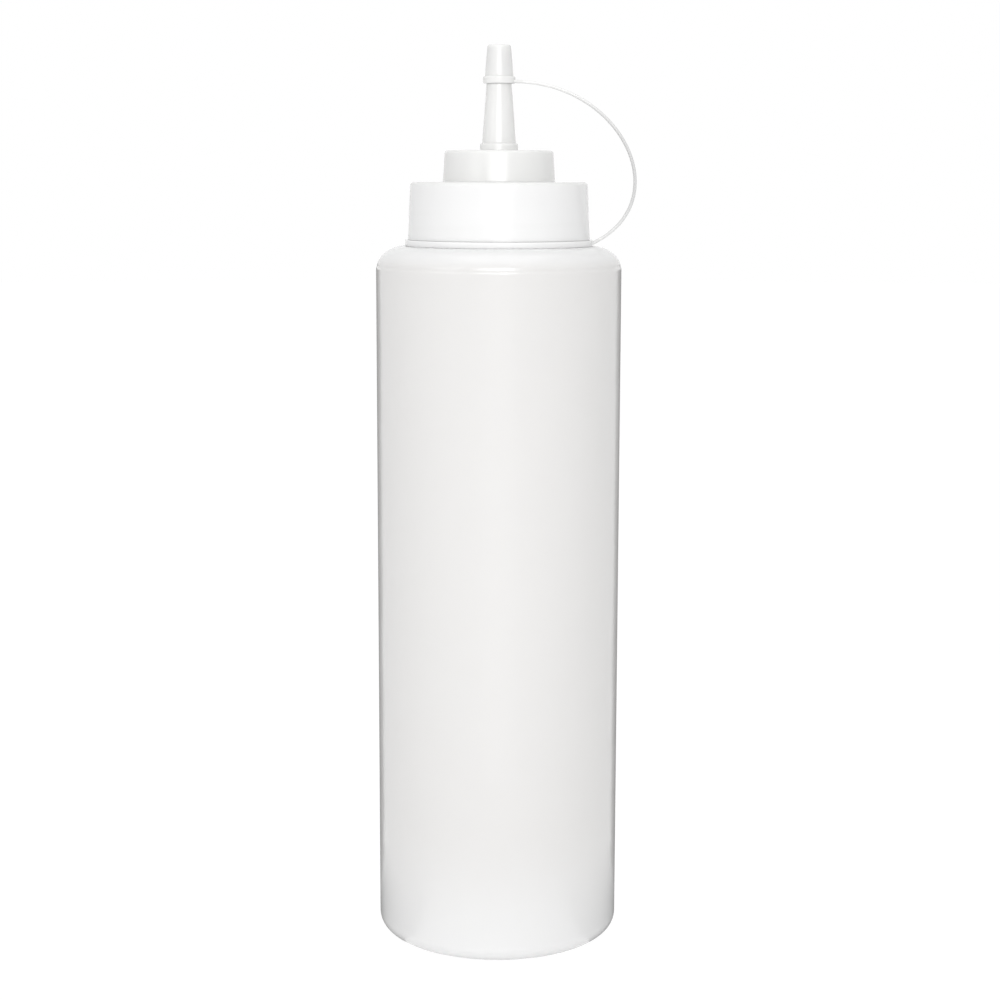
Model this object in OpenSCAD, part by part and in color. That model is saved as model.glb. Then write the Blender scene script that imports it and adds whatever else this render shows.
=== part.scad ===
// Squeeze bottle for sauces, with a screw cap, a cone nozzle and a tip cap on a strap.
// Everything is turned about the Z axis except the strap, which leaves on the +X side.
// The bottle stands on the plane z = 0.

/* [Bottle] */
// Outside diameter of the body
body_d = 70; // [66:1:90]
// Height at which the straight side ends and the shoulder begins
side_top = 194.3; // [120:0.1:240]
// Radius of the corner between the side and the base
base_corner_r = 4.4; // [2:0.1:8]
// Width of the flat ring that the bottle stands on
foot_w = 3.6; // [2:0.1:6]
// Height of the hollow pushed up under the base
pushup_h = 4; // [2:0.1:8]
// Radial width of the rounded shoulder
shoulder_w = 8; // [5:0.1:9]
// Height of the rounded shoulder
shoulder_h = 6.9; // [4:0.1:12]
// Thickness of the blown wall
bottle_wall = 1; // [0.8:0.05:1.4]

/* [Neck] */
// Diameter over the crest of the screw thread
thread_d = 47.4; // [44:0.1:48]
// Depth of the screw thread
thread_depth = 1.2; // [0.8:0.1:1.6]
// Height of the neck from the shoulder to the lip
neck_h = 15.3; // [14:0.1:20]
// Thickness of the neck behind the thread
neck_wall = 2; // [1.4:0.1:2.6]
// Plain height of the neck below the thread
neck_relief = 3; // [2.4:0.1:4]
// Plain height of the neck above the thread
lip_h = 2; // [1.2:0.1:3]
// Radius on the edges of the lip
lip_r = 0.5; // [0.2:0.1:0.6]

/* [Screw cap] */
// Radial gap between the thread crest and the bore of the cap
thread_clearance = 0.3; // [0.2:0.05:0.6]
// Thickness of the skirt at its open end
skirt_wall = 1.9; // [1.6:0.1:2.6]
// Radius that the skirt loses from its open end to its top
skirt_draft = 0.7; // [0.2:0.1:0.9]
// Thickness of the deck over the neck
deck_t = 1.6; // [1.2:0.1:2.4]
// Radius on the outer edge of the deck
deck_edge_r = 1; // [0.5:0.1:1]
// Diameter of the collar at the deck
collar_d = 31.8; // [26:0.1:36]
// Radius that the collar loses over its height
collar_draft = 0.45; // [0.1:0.05:1]
// Height of the collar above the deck
collar_h = 8.8; // [5:0.1:14]
// Thickness of the collar
collar_wall = 1.4; // [1:0.1:2]
// Radius on the top edge of the collar
collar_edge_r = 0.8; // [0.4:0.1:1]

/* [Nozzle] */
// Diameter of the flange at the foot of the nozzle
flange_d = 10.8; // [10.4:0.1:14]
// Height of the flange
flange_h = 2; // [1:0.1:3]
// Diameter of the nozzle where it leaves the flange
nozzle_d = 9.6; // [9:0.1:10]
// Diameter of the nozzle at its tip
tip_d = 5.6; // [5:0.1:6.4]
// Height of the nozzle above the collar, flange included
nozzle_h = 28; // [24:0.1:36]
// Thickness of the nozzle
nozzle_wall = 1.1; // [0.8:0.1:1.4]

/* [Liner] */
// Thickness of the sealing washer between lip and deck
liner_t = 1; // [0.6:0.1:1.6]
// Radial gap between the washer and the bore of the cap
liner_clearance = 0.4; // [0.2:0.1:0.8]

/* [Leash] */
// Radial gap between the neck ring and the thread crest
ring_clearance = 0.5; // [0.4:0.1:0.9]
// Radial width of the neck ring
ring_w = 2.5; // [1.5:0.1:3]
// Thickness of the neck ring
ring_t = 1.6; // [1:0.1:1.7]
// Radius on the outer edges of the neck ring
ring_edge_r = 0.4; // [0.2:0.1:0.5]
// Width of the strap
strap_w = 3; // [2:0.1:5]
// Thickness of the strap
strap_t = 1; // [0.6:0.1:1.3]
// How far the strap's curve reaches out level from the tip cap
strap_reach = 30.6; // [26:0.1:38]
// How far the strap's curve reaches out from the neck ring
strap_spring = 26.3; // [22:0.1:32]
// Angle at which the strap rises from the neck ring
strap_rise = 24.7; // [20:0.1:32]
// Length of the strap's foot on the neck ring
strap_foot = 0.7; // [0.5:0.1:1.5]

/* [Tip cap] */
// Height of the tip cap
tip_cap_h = 10.7; // [8:0.1:14]
// Side wall of the tip cap
tip_cap_wall = 0.6; // [0.5:0.05:1]
// Thickness of the tip cap over the nozzle
tip_cap_top = 1.3; // [0.8:0.1:2]
// Gap between the tip cap and the nozzle
tip_clearance = 0.05; // [0.03:0.01:0.1]
// How far the bead stands out from the mouth of the tip cap
bead_out = 0.4; // [0.2:0.05:0.8]
// Height of the bead
bead_h = 2; // [1.4:0.1:3]
// How far the strap's lug stands out from the bead
lug_out = 0.15; // [0.1:0.05:1]

/* [Hidden] */
$fn = 96;

// Gap between pieces that lie flat on each other
seat_gap = 0.05;
// Gap between pieces that lie loose on each other
loose_gap = 0.1;
// How far a piece runs into the one it is fused with
root = 1;
// Steps in a rounded edge, in a large curve and in the strap
edge_steps = 6;
curve_steps = 14;
strap_steps = 48;

body_r = body_d / 2;
foot_out = body_r - base_corner_r;
foot_in = foot_out - foot_w;
shoulder_r = body_r - shoulder_w;
shoulder_z = side_top + shoulder_h;

crest_r = thread_d / 2;
neck_r = crest_r - thread_depth;
mouth_r = neck_r - neck_wall;
lip_z = shoulder_z + neck_h;
thread_low = shoulder_z + neck_relief;
thread_high = lip_z - lip_h;

ring_z = shoulder_z + loose_gap;
ring_top = ring_z + ring_t;
ring_bore_r = crest_r + ring_clearance;
ring_r = ring_bore_r + ring_w;

liner_z = lip_z + seat_gap;
bore_r = crest_r + thread_clearance;
bore_top = liner_z + liner_t + seat_gap;
deck_z = bore_top + deck_t;
skirt_z = ring_top + 2 * loose_gap;
skirt_r = bore_r + skirt_wall;
deck_r = skirt_r - skirt_draft;

collar_r = collar_d / 2;
collar_z = deck_z + collar_h;
collar_top_r = collar_r - collar_draft;
cavity_r = collar_r - collar_wall;
cavity_top_r = collar_top_r - collar_wall;
cavity_z = collar_z - collar_wall;

nozzle_z = collar_z + flange_h;
tip_z = collar_z + nozzle_h;
nozzle_fall = (nozzle_d - tip_d) / 2 / (tip_z - nozzle_z);

tip_cap_top_z = tip_z + tip_clearance + tip_cap_top;
tip_cap_z = tip_cap_top_z - tip_cap_h;
tip_cap_r = nozzle_r(tip_cap_z) + tip_clearance + tip_cap_wall;
tip_cap_top_r = nozzle_r(tip_cap_top_z) + tip_clearance + tip_cap_wall;
tip_cap_edge_r = tip_cap_wall;
bead_r = tip_cap_r + bead_out;

// The strap's centre line is a cubic curve in the XZ plane, from the tip cap to the ring
strap_start = [bead_r + lug_out, tip_cap_z + strap_t / 2 + loose_gap];
strap_end = [ring_r + strap_foot, ring_z + strap_t];
strap_line = [
    strap_start,
    strap_start + [strap_reach, 0],
    strap_end + strap_spring * [cos(strap_rise), sin(strap_rise)],
    strap_end
];

// Outside radius of the nozzle's cone at a height
function nozzle_r(z) = nozzle_d / 2 - nozzle_fall * (z - nozzle_z);

// Points on an ellipse's arc about [x, z]
function arc(x, z, rx, rz, from, to, steps) =
    [for (i = [0:steps]) let (a = from + (to - from) * i / steps) [x + rx * cos(a), z + rz * sin(a)]];

// Points on the shallow dome under the base, from the axis out to radius r
function dome(r, h, z) = [for (i = [0:curve_steps]) [r * i / curve_steps, z + h * (1 - pow(i / curve_steps, 2))]];

function reversed(p) = [for (i = [len(p) - 1:-1:0]) p[i]];

// A cubic curve through its control points c, and its direction
function cubic(c, t) = pow(1 - t, 3) * c[0] + 3 * pow(1 - t, 2) * t * c[1] + 3 * (1 - t) * pow(t, 2) * c[2] + pow(t, 3) * c[3];
function slope(c, t) = pow(1 - t, 2) * (c[1] - c[0]) + 2 * (1 - t) * t * (c[2] - c[1]) + pow(t, 2) * (c[3] - c[2]);
function beside(c, t, off) = let (d = slope(c, t) / norm(slope(c, t))) cubic(c, t) + off * [-d[1], d[0]];

// Blown bottle: one wall from the pushed-up base to the moulded neck
module bottle() {
    outside = concat(
        dome(foot_in, pushup_h, 0),
        arc(foot_out, base_corner_r, base_corner_r, base_corner_r, -90, 0, edge_steps),
        arc(shoulder_r, side_top, shoulder_w, shoulder_h, 0, 90, curve_steps),
        [
            [neck_r, shoulder_z],
            [neck_r, thread_low - thread_depth],
            [crest_r, thread_low],
            [crest_r, thread_high],
            [neck_r, thread_high + thread_depth]
        ],
        arc(neck_r - lip_r, lip_z - lip_r, lip_r, lip_r, 0, 90, edge_steps)
    );
    inside = concat(
        arc(mouth_r + lip_r, lip_z - lip_r, lip_r, lip_r, 90, 180, edge_steps),
        [[mouth_r, shoulder_z - bottle_wall]],
        arc(shoulder_r, side_top, shoulder_w - bottle_wall, shoulder_h - bottle_wall, 90, 0, curve_steps),
        arc(foot_out, base_corner_r, base_corner_r - bottle_wall, base_corner_r - bottle_wall, 0, -90, edge_steps),
        reversed(dome(foot_in, pushup_h, bottle_wall))
    );
    color([0.93, 0.93, 0.91])
    rotate_extrude()
    polygon(concat(outside, inside));
}

// Soft washer that the deck presses onto the lip
module cap_liner() {
    color("white")
    translate([0, 0, liner_z])
    difference() {
        cylinder(r = bore_r - liner_clearance, h = liner_t);
        translate([0, 0, -liner_t])
        cylinder(r = mouth_r, h = 3 * liner_t);
    }
}

// Cap, collar and hollow nozzle moulded as one shell, open below and at the tip
module screw_cap() {
    outside = concat(
        [[bore_r, skirt_z], [skirt_r, skirt_z]],
        arc(deck_r - deck_edge_r, deck_z - deck_edge_r, deck_edge_r, deck_edge_r, 0, 90, edge_steps),
        [[collar_r, deck_z]],
        arc(collar_top_r - collar_edge_r, collar_z - collar_edge_r, collar_edge_r, collar_edge_r, 0, 90, edge_steps),
        [
            [flange_d / 2, collar_z],
            [flange_d / 2, nozzle_z],
            [nozzle_d / 2, nozzle_z],
            [tip_d / 2, tip_z]
        ]
    );
    inside = [
        [tip_d / 2 - nozzle_wall, tip_z],
        [nozzle_d / 2 - nozzle_wall, nozzle_z],
        [nozzle_d / 2 - nozzle_wall, cavity_z],
        [cavity_top_r, cavity_z],
        [cavity_r, bore_top],
        [bore_r, bore_top]
    ];
    color([0.89, 0.89, 0.87])
    rotate_extrude()
    polygon(concat(outside, inside));
}

// Flat ring held loose round the neck, with the foot that the strap springs from
module tether_ring() {
    edge_x = ring_r - ring_edge_r;
    section = concat(
        [[ring_bore_r, ring_z]],
        arc(edge_x, ring_z + ring_edge_r, ring_edge_r, ring_edge_r, -90, 0, edge_steps),
        arc(edge_x, ring_top - ring_edge_r, ring_edge_r, ring_edge_r, 0, 90, edge_steps),
        [[ring_bore_r, ring_top]]
    );
    color([0.91, 0.91, 0.89]) {
        rotate_extrude()
        polygon(section);
        across_strap()
        polygon([
            [ring_r - root, ring_z],
            beside(strap_line, 1, strap_t / 2),
            beside(strap_line, 1, -strap_t / 2),
            [ring_r - root, ring_top]
        ]);
    }
}

// Stands a profile drawn in x and z upright, as wide as the strap
module across_strap() {
    rotate([90, 0, 0])
    linear_extrude(strap_w, center = true)
    children();
}

// Flat ribbon that bows out from the tip cap and down to the ring
module tether_strap() {
    steps = [for (i = [0:strap_steps]) i / strap_steps];
    color([0.91, 0.91, 0.89])
    across_strap()
    polygon(concat(
        [for (t = steps) beside(strap_line, t, strap_t / 2)],
        [for (t = reversed(steps)) beside(strap_line, t, -strap_t / 2)]
    ));
}

// Thimble that closes the nozzle, with a bead round its mouth and a lug for the strap
module tip_cap() {
    bead_edge_r = bead_out;
    thimble = concat(
        [[nozzle_r(tip_cap_z) + tip_clearance, tip_cap_z]],
        arc(bead_r - bead_edge_r, tip_cap_z + bead_edge_r, bead_edge_r, bead_edge_r, -90, 0, edge_steps),
        arc(bead_r - bead_edge_r, tip_cap_z + bead_h - bead_edge_r, bead_edge_r, bead_edge_r, 0, 90, edge_steps),
        arc(tip_cap_top_r - tip_cap_edge_r, tip_cap_top_z - tip_cap_edge_r, tip_cap_edge_r, tip_cap_edge_r, 0, 90, edge_steps),
        [
            [0, tip_cap_top_z],
            [0, tip_z + tip_clearance],
            [nozzle_r(tip_z) + tip_clearance, tip_z + tip_clearance]
        ]
    );
    color([0.90, 0.90, 0.88]) {
        rotate_extrude()
        polygon(thimble);
        across_strap()
        translate([bead_r - root / 2, strap_start[1] - strap_t / 2])
        square([root / 2 + lug_out, strap_t]);
    }
}

bottle();
cap_liner();
screw_cap();
tether_ring();
tether_strap();
tip_cap();
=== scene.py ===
"""Squeeze bottle for sauces: the looks built round the packed frame.

Every piece but the foam washer is moulded from natural low-density polyethylene, a milky
plastic that shows the light behind it. All turned pieces share one Geometry Nodes tree that
turns a profile about the bottle's axis and raises the screw thread on it.
"""

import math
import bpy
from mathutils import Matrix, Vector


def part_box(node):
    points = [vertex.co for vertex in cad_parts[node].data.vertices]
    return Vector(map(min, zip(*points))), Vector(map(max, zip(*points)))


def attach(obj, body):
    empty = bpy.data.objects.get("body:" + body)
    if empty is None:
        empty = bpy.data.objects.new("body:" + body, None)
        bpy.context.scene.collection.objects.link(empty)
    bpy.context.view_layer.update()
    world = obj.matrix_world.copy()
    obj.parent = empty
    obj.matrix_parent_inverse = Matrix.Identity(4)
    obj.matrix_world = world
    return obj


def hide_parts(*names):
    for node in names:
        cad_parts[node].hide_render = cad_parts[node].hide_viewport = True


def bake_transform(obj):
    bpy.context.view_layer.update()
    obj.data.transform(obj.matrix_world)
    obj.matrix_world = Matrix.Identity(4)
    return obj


bl_info = {
    "name": "Sauce squeeze bottle",
    "version": (1, 0, 0),
    "blender": (4, 5, 0),
    "location": "View3D > Sidebar > Bottle",
    "description": "Builds a squeeze bottle with a screw cap, a cone nozzle and a tip cap on a strap",
    "category": "Add Mesh",
}

import bmesh
import bpy
from bpy.props import FloatProperty, FloatVectorProperty, PointerProperty
from mathutils import Euler, Vector

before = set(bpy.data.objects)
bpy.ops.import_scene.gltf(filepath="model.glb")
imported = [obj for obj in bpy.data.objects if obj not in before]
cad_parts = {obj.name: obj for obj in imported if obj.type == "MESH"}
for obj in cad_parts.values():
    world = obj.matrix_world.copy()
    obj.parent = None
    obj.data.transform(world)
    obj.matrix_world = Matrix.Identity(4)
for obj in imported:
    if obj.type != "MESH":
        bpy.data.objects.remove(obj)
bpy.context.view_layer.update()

MM = 0.001
SEAM = 0.002 * MM  # points closer than this become one
PLAY = 0.08  # mm that the ring and the skirt lie closer together than in the packed frame
PHOTO_SIDE = 1000  # pixels
FLOOR_RADIUS = 4.0  # metres
LAMP_TARGET = Vector((0, 0, 0.14))  # metres

# An edge sharper than this is shaded as a corner
TURNED_CORNER = math.radians(32)
STRAP_CORNER = math.radians(40)

# Shares of the strap's length: from its middle, where it starts to widen and its end; and from the tip
# cap down, for the painted shade that greys the thin strap: between where that shade is darkest, and
# where it would have faded out, as at the ring
FLARE_FROM, FLARE_TO = 0.46, 0.5
SHADE_FROM, SHADE_TO, SHADE_END = 0.62, 0.7, 1.06

BOTTLE_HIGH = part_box("bottle")[1]
CAP_LOW, CAP_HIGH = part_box("screw_cap")
RING_LOW, RING_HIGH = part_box("tether_ring")
TIP_LOW, TIP_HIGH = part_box("tip_cap")


def linear(hex_colour):
    """Linear RGBA of an sRGB colour written as a hex string."""
    parts = [int(hex_colour[i : i + 2], 16) / 255 for i in (1, 3, 5)]
    return [c / 12.92 if c <= 0.04045 else ((c + 0.055) / 1.055) ** 2.4 for c in parts] + [1.0]


def metres(name, default, description):
    """A size in the sidebar, given here in metres, as the frame gives it."""
    return FloatProperty(
        name=name, description=description, default=default, min=0, unit="LENGTH", precision=5
    )


def length(name, default_mm, description):
    """A size in the sidebar, given here in millimetres."""
    return metres(name, default_mm * MM, description)


def power(name, watts, description):
    """A lamp's power in the sidebar."""
    return FloatProperty(name=name, description=description, default=watts, min=0, unit="POWER")


def colour(name, hex_colour, description):
    """A colour in the sidebar, given here as an sRGB hex string."""
    value = linear(hex_colour)
    return FloatVectorProperty(
        name=name, description=description, subtype="COLOR", size=4, default=value, min=0, max=1
    )


class BottleSizes(bpy.types.PropertyGroup):
    """The blown bottle and the thread on its neck."""

    body_radius: metres("Body radius", BOTTLE_HIGH.x, "Outside of the body")
    lip_height: metres("Lip height", BOTTLE_HIGH.z, "Top of the neck")
    wall: length("Wall", 1.0, "Thickness of the blown wall")
    base_corner: length("Base corner", 4.4, "Radius of the corner round the base")
    foot_width: length("Foot width", 3.6, "Width of the ring that the bottle stands on")
    push_up: length("Push-up", 4.0, "Height of the hollow under the base")
    side_top: length("Side height", 194.3, "Height at which the straight side ends")
    shoulder_width: length("Shoulder width", 8.0, "Radial width of the rounded shoulder")
    shoulder_height: length("Shoulder height", 6.9, "Height of the rounded shoulder")
    insert_line: length("Insert line", 0.1, "Depth of the faint groove where two mould parts met")
    insert_height: length("Insert line height", 195.7, "Height of that groove")
    insert_width: length("Insert line width", 0.5, "Half the width of that groove")
    neck_radius: length("Neck radius", 22.5, "Neck at the root of its thread")
    neck_wall: length("Neck wall", 2.0, "Thickness of the neck behind the thread")
    lip_edge: length("Lip edge", 0.5, "Radius on the edges of the lip")


class ThreadSizes(bpy.types.PropertyGroup):
    """The screw thread, on the neck and inside the cap."""

    pitch: length("Pitch", 4.2333, "Rise of the thread in one turn, 6 turns an inch")
    depth: length("Depth", 1.2, "Height of the thread on its neck")
    foot: length("Foot", 2.2, "Width of the thread where it stands on the neck")
    crest: length("Crest", 0.8, "Width of the thread's flat top")
    start: length("Start", 206.0, "Height at which the thread on the neck starts")
    turns: FloatProperty(
        name="Turns", description="How many times the thread goes round", default=1.5, min=0.5
    )
    lead: FloatProperty(
        name="Lead", description="Share of a turn over which the thread rises", default=0.06, min=0.01
    )


class CapSizes(bpy.types.PropertyGroup):
    """The screw cap with its collar and nozzle."""

    skirt_low: metres("Skirt height", CAP_LOW.z - PLAY * MM, "Open end of the skirt")
    skirt_radius: metres("Skirt radius", CAP_HIGH.x, "Skirt at its open end")
    skirt_edge: length("Skirt edge", 0.08, "Radius on the edges of the skirt's open end")
    tip_height: metres("Tip height", CAP_HIGH.z, "Open end of the nozzle")
    bore: length("Bore radius", 24.0, "Inside of the skirt at the root of its thread")
    bore_top: length("Bore top", 217.6, "Underside of the deck")
    deck: length("Deck height", 219.2, "Top of the deck")
    deck_radius: length("Deck radius", 25.2, "Outside of the skirt at its top")
    deck_edge: length("Deck edge", 1.0, "Radius on the edge of the deck")
    collar_radius: length("Collar radius", 15.9, "Collar where it leaves the deck")
    collar_top: length("Collar height", 228.0, "Top of the collar")
    collar_draft: length("Collar draft", 0.45, "Radius that the collar loses on its way up")
    collar_wall: length("Collar wall", 1.4, "Thickness of the collar")
    collar_edge: length("Collar edge", 0.8, "Radius on the top edge of the collar")
    flange_radius: length("Flange radius", 5.4, "Flange at the foot of the nozzle")
    flange_top: length("Flange height", 230.0, "Top of the flange")
    nozzle_radius: length("Nozzle radius", 4.8, "Nozzle where it leaves the flange")
    tip_radius: length("Tip radius", 2.8, "Nozzle at its tip")
    nozzle_wall: length("Nozzle wall", 1.1, "Thickness of the nozzle")
    collar_root: length("Collar root", 0.4, "Radius where the collar leaves the deck")
    nozzle_root: length("Nozzle root", 0.3, "Radius at the foot of the flange and of the nozzle")
    small_edge: length("Small edge", 0.25, "Radius on the edges of the flange and the tip")


class LeashSizes(bpy.types.PropertyGroup):
    """The neck ring, the strap and the tip cap, which are one soft moulding."""

    ring_bore: length("Ring bore", 24.2, "Inside radius of the neck ring")
    ring_edge: length("Ring edge", 0.08, "Radius on the edges of the neck ring")
    ring_reach: length("Ring reach", 0.8, "How far the neck ring stands out beyond the skirt")
    play: length("Play", PLAY, "How much closer the ring lies to the skirt and shoulder")
    strap_width: length("Strap width", 3.0, "Width of the strap")
    strap_thickness: length("Strap thickness", 0.8, "Thickness of the strap")
    strap_edge: length("Strap edge", 0.2, "Radius on the edges of the strap")
    strap_flare: length("Strap flare", 0.7, "How much the strap widens at each end, on each side")
    tip_wall: length("Tip cap wall", 0.6, "Side wall of the tip cap")
    tip_gap: length("Tip cap gap", 0.05, "Gap between the tip cap and the nozzle")
    tip_top: length("Tip cap top", 1.3, "Thickness of the tip cap over the nozzle")
    bead_out: length("Bead", 0.4, "How far the bead stands out from the tip cap")
    bead_height: length("Bead height", 2.0, "Height of the bead")


class Finish(bpy.types.PropertyGroup):
    """Colours of the plastics, the floor and the cards."""

    bottle: colour("Bottle", "#E6E5E4", "Natural polyethylene of the blown bottle's thin wall")
    # Whiter for the thicker wall at the shoulder and base, and also painted light there: a painted
    # reflection of the room on the shoulder and painted floor light on the base
    bottle_thick_and_lit: colour("Thick bottle", "#EEEEEE", "Where it is thick, at the shoulder and base")
    closure: colour("Closure", "#EAEAE9", "Natural polyethylene of the cap and the leash")
    # Painted light: the skirt and the ring are whitened for the light that the neck behind them sends
    # back through
    closure_painted_backlight: colour("Backed closure", "#F0F0F0", "Where the neck behind it whitens the skirt")
    # Painted shade: the thin strap is greyed for the room showing through it
    closure_thin_shade: colour("Thin closure", "#CCCCCC", "Where the strap lets the room show through")
    foam: colour("Washer", "#F7F7F4", "Foamed polyethylene of the washer")
    floor: colour("Floor", "#F4F4F4", "Paper floor")
    card: colour("Black card", "#383838", "Cards that edge the bottle with dark reflections")


class StudioSizes(bpy.types.PropertyGroup):
    """The camera and the lights."""

    camera_distance: length("Camera distance", 586.4, "From the bottle's axis to the camera")
    camera_height: length("Camera height", 219.5, "Camera above the floor")
    camera_tilt: FloatProperty(
        name="Camera tilt", description="How far the camera looks down", default=0.155, subtype="ANGLE"
    )
    camera_roll: FloatProperty(
        name="Camera roll", description="Lean of the frame", default=0.0022, subtype="ANGLE"
    )
    focal_pixels: FloatProperty(
        name="Focal length", description="In the frame's pixels", default=2040.8
    )
    shift_pixels: FloatProperty(
        name="Shift", description="Sideways, in the frame's pixels", default=1.75
    )
    ambient: FloatProperty(name="Room light", description="Strength of the even light", default=0.58)
    key: power("Front lamp", 1.7, "Power of the lamp in front")
    side: power("Left lamp", 0.8, "Power of the lamp on the left")
    fill: power("Front fill", 6.8, "Power of the broad light in front")
    strip: power("Strip lamp", 0.026, "Power of the small lamp close in front")
    top: power("Overhead", 4.0, "Power of the softbox overhead")
    card_foot: length("Card foot", 33, "From the bottle's axis to the near edge of each black card")
    card_near: length("Card fade", 92, "From the bottle's axis to where the card has faded to white")
    card_reach: length("Card distance", 110, "From the bottle's axis to the cards' upright parts")
    card_height: length("Card height", 196, "Height of the cards' upright parts")


def add_node(tree, kind, inputs=None, **settings):
    """Adds a node. inputs maps a socket's name or number to a value, a socket or a node."""
    node = tree.nodes.new(kind)
    for name, value in settings.items():
        setattr(node, name, value)
    for name, value in (inputs or {}).items():
        if isinstance(value, bpy.types.Node):
            value = value.outputs[0]
        if isinstance(value, bpy.types.NodeSocket):
            tree.links.new(value, node.inputs[name])
        else:
            node.inputs[name].default_value = value
    return node


def named_tree(name, sockets):
    """A Geometry Nodes tree with one output and the inputs that sockets lists by their type."""
    tree = bpy.data.node_groups.new(name, "GeometryNodeTree")
    for kind, labels in sockets.items():
        for label in labels:
            tree.interface.new_socket(label, in_out="INPUT", socket_type="NodeSocket" + kind)
    tree.interface.new_socket("Moulding", in_out="OUTPUT", socket_type="NodeSocketGeometry")
    return tree, add_node(tree, "NodeGroupInput").outputs


def close_tree(tree, geometry, given):
    """Finishes a tree: real geometry in its material, with hard edges only at corners."""
    angle = add_node(tree, "GeometryNodeInputMeshEdgeAngle")
    corner = add_node(
        tree,
        "FunctionNodeCompare",
        {0: angle, 1: given["Corner angle"]},
        data_type="FLOAT",
        operation="GREATER_THAN",
    )
    faces = add_node(tree, "GeometryNodeSetShadeSmooth", {0: geometry})
    edges = add_node(
        tree,
        "GeometryNodeSetShadeSmooth",
        {0: faces, "Selection": corner, "Shade Smooth": False},
        domain="EDGE",
    )
    real = add_node(tree, "GeometryNodeRealizeInstances", {0: edges})
    dressed = add_node(tree, "GeometryNodeSetMaterial", {0: real, "Material": given["Material"]})
    add_node(tree, "NodeGroupOutput", {0: dressed})
    return tree


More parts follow.
